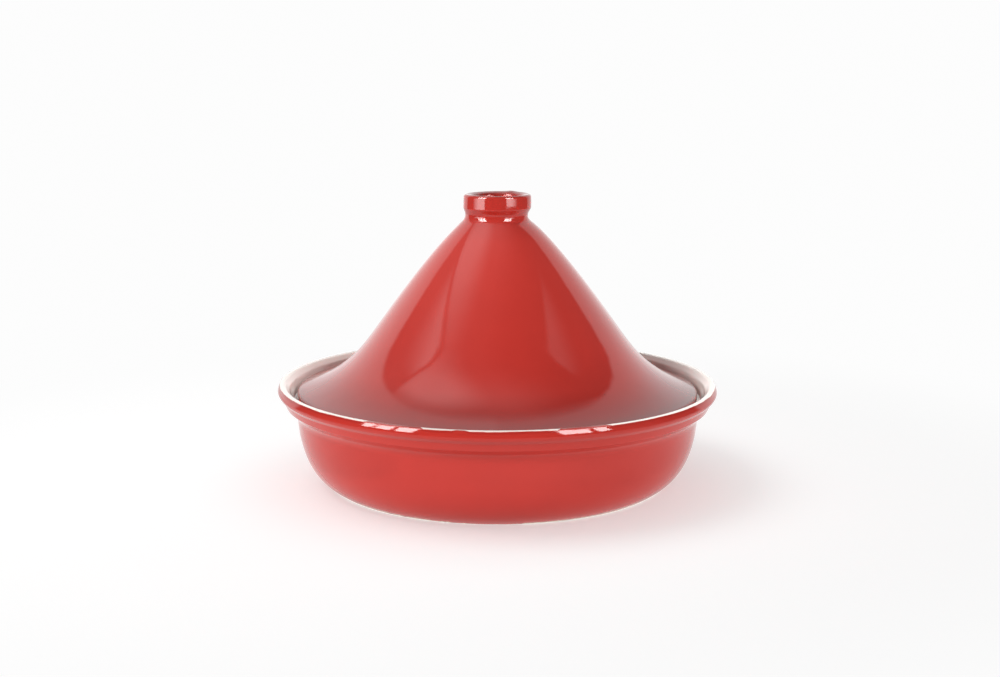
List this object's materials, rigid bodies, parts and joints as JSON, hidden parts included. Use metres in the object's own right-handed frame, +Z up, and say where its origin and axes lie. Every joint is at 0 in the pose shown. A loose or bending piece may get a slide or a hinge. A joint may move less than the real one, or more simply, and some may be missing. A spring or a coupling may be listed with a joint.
{
  "type": "tagine",
  "caption": "Glazed earthenware tagine: a shallow round dish with a stepped flared collar, and a conical lid with a hollow knob that lifts off a ledge inside the rim.",
  "frame": {"origin": "centre of the foot ring, on the surface that the dish stands on", "axes": "+Z up along the axis that both pieces are turned about; X and Y are any two level directions"},
  "size_m": [0.2812, 0.2812, 0.185],
  "materials": {
    "dish_glaze": "glossy red glaze outside, cream glaze inside and over the lip, bare pale clay on the foot ring",
    "lid_glaze": "glossy red glaze outside, cream glaze inside, bare pale clay on the seat ring"
  },
  "bodies": {
    "dish": {"dish": "dish_glaze"},
    "lid": {"lid": "lid_glaze"}
  },
  "joints": [
    {"name": "lid_lift", "type": "slide", "parent": "dish", "child": "lid", "axis": [0, 0, 1], "range_m": [0, 0.2]}
  ]
}
